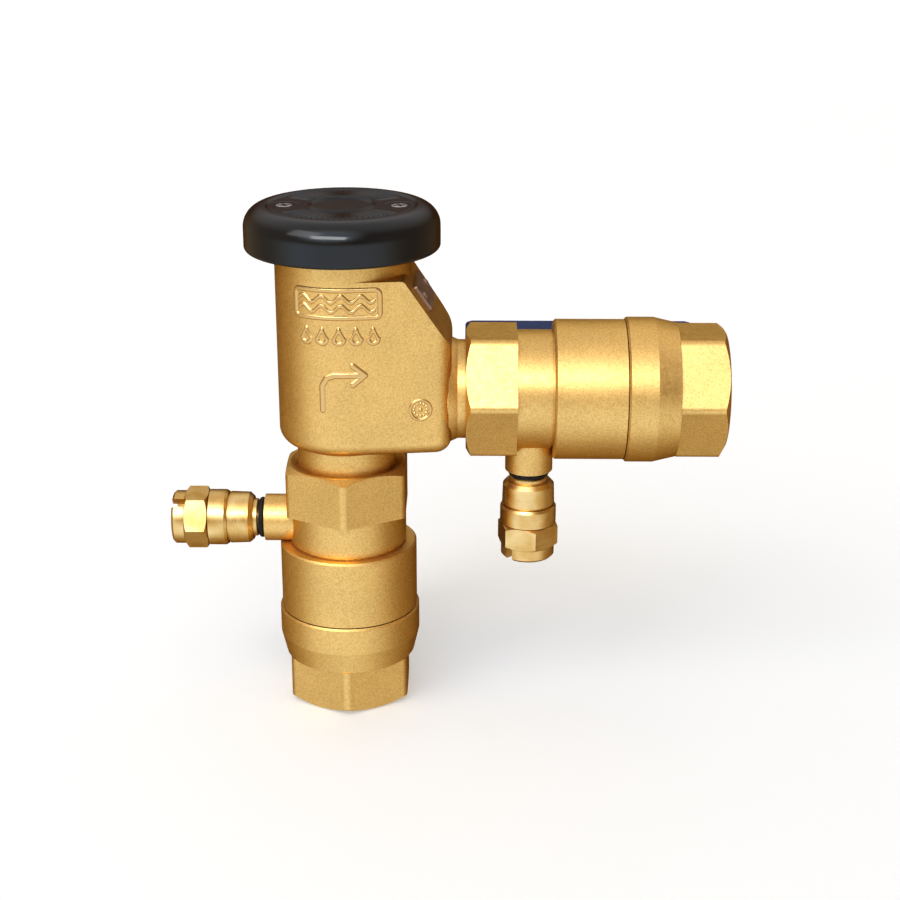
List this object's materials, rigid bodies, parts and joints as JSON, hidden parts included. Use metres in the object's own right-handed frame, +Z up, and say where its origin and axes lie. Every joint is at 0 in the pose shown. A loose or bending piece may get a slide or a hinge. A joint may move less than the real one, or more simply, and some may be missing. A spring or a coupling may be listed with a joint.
{
  "type": "pressure vacuum breaker",
  "caption": "Right-angle pressure vacuum breaker in cast brass: a body with air inlet under a black canopy, threaded ball valves on inlet and outlet, and a test cock on each valve.",
  "frame": {"origin": "centre of the inlet end face, on the inlet thread's axis", "axes": "+Z up along the inlet axis, +X towards the outlet, +Y towards the handles"},
  "size_m": [0.1898, 0.0942, 0.1774],
  "materials": {
    "cast_brass": "blasted casting",
    "turned_brass": "turned",
    "testcock_brass": "turned satin",
    "black_plastic": "gloss moulded",
    "blue_handle": "dipped vinyl",
    "nameplate_metal": "brushed",
    "steel": "bright",
    "chrome_ball": "polished plate",
    "ptfe": "smooth",
    "plastic_white": "moulded",
    "rubber": "matte"
  },
  "bodies": {
    "casting": {"body": "cast_brass", "nameplate": "nameplate_metal", "nameplate_pins": "steel", "check_seat": "turned_brass", "check_seat_oring": "rubber", "check_spring": "steel", "check_guide": "plastic_white", "float_spring": "steel", "bonnet": "turned_brass", "bonnet_oring": "rubber", "canopy": "black_plastic", "canopy_screws": "steel", "inlet_valve_body": "cast_brass", "inlet_end_adapter": "cast_brass", "inlet_adapter_oring": "rubber", "inlet_seat_upstream": "ptfe", "inlet_seat_downstream": "ptfe", "inlet_thrust_washer": "ptfe", "inlet_stem_packing": "ptfe", "inlet_gland_nut": "turned_brass", "inlet_testcock_body": "testcock_brass", "inlet_testcock_washer": "rubber", "outlet_valve_body": "cast_brass", "outlet_end_adapter": "cast_brass", "outlet_adapter_oring": "rubber", "outlet_seat_upstream": "ptfe", "outlet_seat_downstream": "ptfe", "outlet_thrust_washer": "ptfe", "outlet_stem_packing": "ptfe", "outlet_gland_nut": "turned_brass", "outlet_testcock_body": "testcock_brass", "outlet_testcock_washer": "rubber"},
    "inlet_handle_set": {"inlet_handle": "blue_handle", "inlet_stem": "turned_brass", "inlet_ball": "chrome_ball", "inlet_handle_nut": "steel"},
    "inlet_testcock_plug_set": {"inlet_testcock_plug": "testcock_brass", "inlet_testcock_oring": "rubber"},
    "outlet_handle_set": {"outlet_handle": "blue_handle", "outlet_stem": "turned_brass", "outlet_ball": "chrome_ball", "outlet_handle_nut": "steel"},
    "outlet_testcock_plug_set": {"outlet_testcock_plug": "testcock_brass", "outlet_testcock_oring": "rubber"},
    "check_poppet_set": {"check_poppet": "plastic_white", "check_disc": "rubber", "check_disc_washer": "steel", "check_screw": "steel"},
    "float_set": {"float": "plastic_white", "float_disc": "rubber"}
  },
  "joints": [
    {"name": "inlet_handle_turn", "type": "hinge", "parent": "casting", "child": "inlet_handle_set", "pos_m": [0, 0, 0.0461], "axis": [0, 1, 0], "range_deg": [0, 90]},
    {"name": "outlet_handle_turn", "type": "hinge", "parent": "casting", "child": "outlet_handle_set", "pos_m": [0.0827, 0, 0.1135], "axis": [0, 1, 0], "range_deg": [0, 90]},
    {"name": "inlet_testcock_turn", "type": "hinge", "parent": "casting", "child": "inlet_testcock_plug_set", "pos_m": [-0.05, 0, 0.0658], "axis": [-1, 0, 0], "range_deg": [0, 90]},
    {"name": "outlet_testcock_turn", "type": "hinge", "parent": "casting", "child": "outlet_testcock_plug_set", "pos_m": [0.063, 0, 0.0635], "axis": [0, 0, -1], "range_deg": [0, 90]},
    {"name": "check_lift", "type": "slide", "parent": "casting", "child": "check_poppet_set", "axis": [0, 0, 1], "range_m": [0, 0.007], "stiffness_N_per_m": 400, "springref_m": -0.008, "deforming": ["check_spring"]},
    {"name": "float_lift", "type": "slide", "parent": "casting", "child": "float_set", "axis": [0, 0, 1], "range_m": [0, 0.005], "stiffness_N_per_m": 120, "springref_m": -0.006, "deforming": ["float_spring"]}
  ]
}
